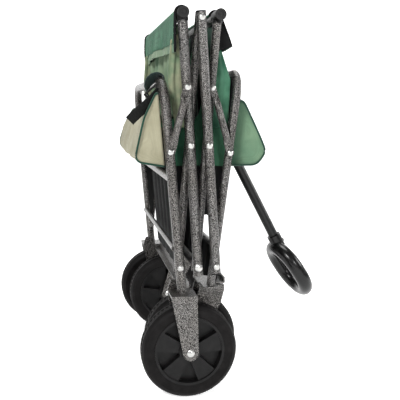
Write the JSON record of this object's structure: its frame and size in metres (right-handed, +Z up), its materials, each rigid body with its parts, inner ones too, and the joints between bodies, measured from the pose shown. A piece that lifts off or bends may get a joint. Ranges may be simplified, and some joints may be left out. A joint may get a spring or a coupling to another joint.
{
  "type": "folding wagon",
  "caption": "Folding camp wagon, folded upright: crossed tube side frames between arched end frames, ribbed wheels, front casters, fabric pouches and a telescoping loop handle.",
  "frame": {"origin": "middle of the folded wagon's box, at floor level", "axes": "+X towards the pull handle, +Y across the wagon, +Z up"},
  "size_m": [0.4202, 0.5262, 0.7133],
  "materials": {
    "hammered_steel": "hammered grey enamel",
    "zinc_steel": "zinc plated",
    "black_plastic": "moulded, satin",
    "tyre_rubber": "ribbed solid tyre",
    "green_fabric": "woven polyester",
    "pouch_fabric": "woven polyester, pale khaki green",
    "black_fabric": "fabric covered board",
    "webbing": "flat nylon webbing",
    "handle_steel": "black gloss enamel",
    "grip_plastic": "glossy moulded",
    "button_plastic": "moulded grey"
  },
  "bodies": {
    "rear_frame": {"rear_arch": "hammered_steel", "rear_cross_tubes": "hammered_steel", "rear_axle_beam": "hammered_steel", "rear_forks": "hammered_steel", "rear_axles": "zinc_steel", "rear_pivot_rivets": "zinc_steel", "rear_wall": "black_fabric", "rear_pouch": "pouch_fabric", "rear_strap": "webbing", "rear_buckle": "black_plastic"},
    "rear_rising": {"rear_rising_arms": "hammered_steel", "rear_rising_plugs": "black_plastic", "rear_rising_rivets": "zinc_steel", "rear_side_panels": "green_fabric"},
    "rear_falling": {"rear_falling_arms": "hammered_steel", "rear_falling_rivets": "zinc_steel", "centre_cross_tube": "hammered_steel", "rear_end_bar": "hammered_steel", "rear_bar_sockets": "black_plastic", "rear_flap": "green_fabric", "middle_side_panels": "green_fabric"},
    "front_rising": {"front_rising_arms": "hammered_steel", "front_end_bar": "hammered_steel", "front_bar_sockets": "black_plastic", "front_flap": "green_fabric"},
    "front_falling": {"front_falling_arms": "hammered_steel", "front_falling_plugs": "black_plastic", "front_falling_rivets": "zinc_steel", "front_side_panels": "green_fabric"},
    "front_frame": {"front_arch": "hammered_steel", "front_cross_tubes": "hammered_steel", "handle_bracket": "hammered_steel", "handle_pin": "zinc_steel", "caster_heads": "hammered_steel", "front_wall": "green_fabric", "front_pouch": "pouch_fabric"},
    "rear_stays": {"rear_links": "hammered_steel", "rear_link_rivets": "zinc_steel"},
    "front_stays": {"front_links": "hammered_steel", "front_link_rivets": "zinc_steel"},
    "rear_floor": {"rear_floor_board": "black_fabric"},
    "front_floor": {"front_floor_board": "black_fabric"},
    "handle": {"handle_outer_tube": "handle_steel"},
    "handle_slider": {"handle_inner_tube": "handle_steel", "handle_grip": "grip_plastic"},
    "handle_release": {"handle_button": "button_plastic"},
    "rear_wheel_near": {"rear_tyre_near": "tyre_rubber", "rear_rim_near": "black_plastic"},
    "front_wheel_near": {"front_tyre_near": "tyre_rubber", "front_rim_near": "black_plastic"},
    "caster_near": {"caster_fork_near": "hammered_steel", "caster_axle_near": "zinc_steel"},
    "rear_wheel_far": {"rear_tyre_far": "tyre_rubber", "rear_rim_far": "black_plastic"},
    "front_wheel_far": {"front_tyre_far": "tyre_rubber", "front_rim_far": "black_plastic"},
    "caster_far": {"caster_fork_far": "hammered_steel", "caster_axle_far": "zinc_steel"}
  },
  "joints": [
    {"name": "fold", "type": "hinge", "parent": "rear_frame", "child": "rear_rising", "pos_m": [-0.13307, 0, 0.24677], "axis": [0, 1, 0], "range_deg": [0, 48.7]},
    {"name": "rear_centre_pivot", "type": "hinge", "parent": "rear_rising", "child": "rear_falling", "pos_m": [-0.11615, 0, 0.47174], "axis": [0, 1, 0], "range_deg": [-97.5, 0.1]},
    {"name": "middle_foot_pivot", "type": "hinge", "parent": "rear_falling", "child": "front_rising", "pos_m": [-0.09924, 0, 0.24677], "axis": [0, 1, 0], "range_deg": [-0.1, 97.5]},
    {"name": "front_centre_pivot", "type": "hinge", "parent": "front_rising", "child": "front_falling", "pos_m": [-0.08232, 0, 0.47174], "axis": [0, 1, 0], "range_deg": [-97.5, 0.1]},
    {"name": "front_foot_pivot", "type": "hinge", "parent": "front_falling", "child": "front_frame", "pos_m": [-0.06541, 0, 0.24677], "axis": [0, 1, 0], "range_deg": [-0.1, 48.8]},
    {"name": "rear_stay_pivot", "type": "hinge", "parent": "rear_frame", "child": "rear_stays", "pos_m": [-0.15366, 0, 0.46059], "axis": [0, 1, 0], "range_deg": [-0.1, 83.08]},
    {"name": "front_stay_pivot", "type": "hinge", "parent": "front_frame", "child": "front_stays", "pos_m": [-0.03951, 0, 0.45769], "axis": [0, 1, 0], "range_deg": [-79.37, 0.1]},
    {"name": "rear_floor_hinge", "type": "hinge", "parent": "rear_falling", "child": "rear_floor", "pos_m": [-0.09924, 0, 0.26177], "axis": [0, 1, 0], "range_deg": [-41.4, 0.1]},
    {"name": "front_floor_hinge", "type": "hinge", "parent": "front_rising", "child": "front_floor", "pos_m": [-0.09924, 0, 0.26177], "axis": [0, 1, 0], "range_deg": [-0.1, 41.4]},
    {"name": "rear_spin_near", "type": "hinge", "parent": "rear_frame", "child": "rear_wheel_near", "pos_m": [-0.11547, -0.2325, 0.09], "axis": [0, 1, 0], "continuous": true},
    {"name": "caster_swivel_near", "type": "hinge", "parent": "front_frame", "child": "caster_near", "pos_m": [-0.05307, -0.1585, 0.2], "axis": [0, 0, 1], "range_deg": [-5, 5]},
    {"name": "front_spin_near", "type": "hinge", "parent": "caster_near", "child": "front_wheel_near", "pos_m": [-0.10007, -0.1585, 0.09], "axis": [0, 1, 0], "continuous": true},
    {"name": "rear_spin_far", "type": "hinge", "parent": "rear_frame", "child": "rear_wheel_far", "pos_m": [-0.11547, 0.2325, 0.09], "axis": [0, 1, 0], "continuous": true},
    {"name": "caster_swivel_far", "type": "hinge", "parent": "front_frame", "child": "caster_far", "pos_m": [-0.05307, 0.1585, 0.2], "axis": [0, 0, 1], "range_deg": [-5, 5]},
    {"name": "front_spin_far", "type": "hinge", "parent": "caster_far", "child": "front_wheel_far", "pos_m": [-0.10007, 0.1585, 0.09], "axis": [0, 1, 0], "continuous": true},
    {"name": "handle_hinge", "type": "hinge", "parent": "front_frame", "child": "handle", "pos_m": [-0.01408, 0, 0.50682], "axis": [0, -1, 0], "range_deg": [0, 130]},
    {"name": "handle_extend", "type": "slide", "parent": "handle", "child": "handle_slider", "axis": [0.4741, 0, -0.8805], "range_m": [0, 0.12]},
    {"name": "handle_button_press", "type": "slide", "parent": "handle_slider", "child": "handle_release", "axis": [-0.8805, 0, -0.4741], "range_m": [0, 0.0018], "stiffness_N_per_m": 300}
  ],
  "couplings": [
    {"joint": "rear_centre_pivot", "follows": "fold", "ratio": -2},
    {"joint": "middle_foot_pivot", "follows": "fold", "ratio": 2},
    {"joint": "front_centre_pivot", "follows": "fold", "ratio": -2},
    {"joint": "front_foot_pivot", "follows": "fold", "ratio": 1},
    {"joint": "rear_stay_pivot", "follows": "fold", "ratio": 1.7039},
    {"joint": "front_stay_pivot", "follows": "fold", "ratio": -1.6277},
    {"joint": "rear_floor_hinge", "follows": "fold", "ratio": -0.84805},
    {"joint": "front_floor_hinge", "follows": "fold", "ratio": 0.84805}
  ]
}
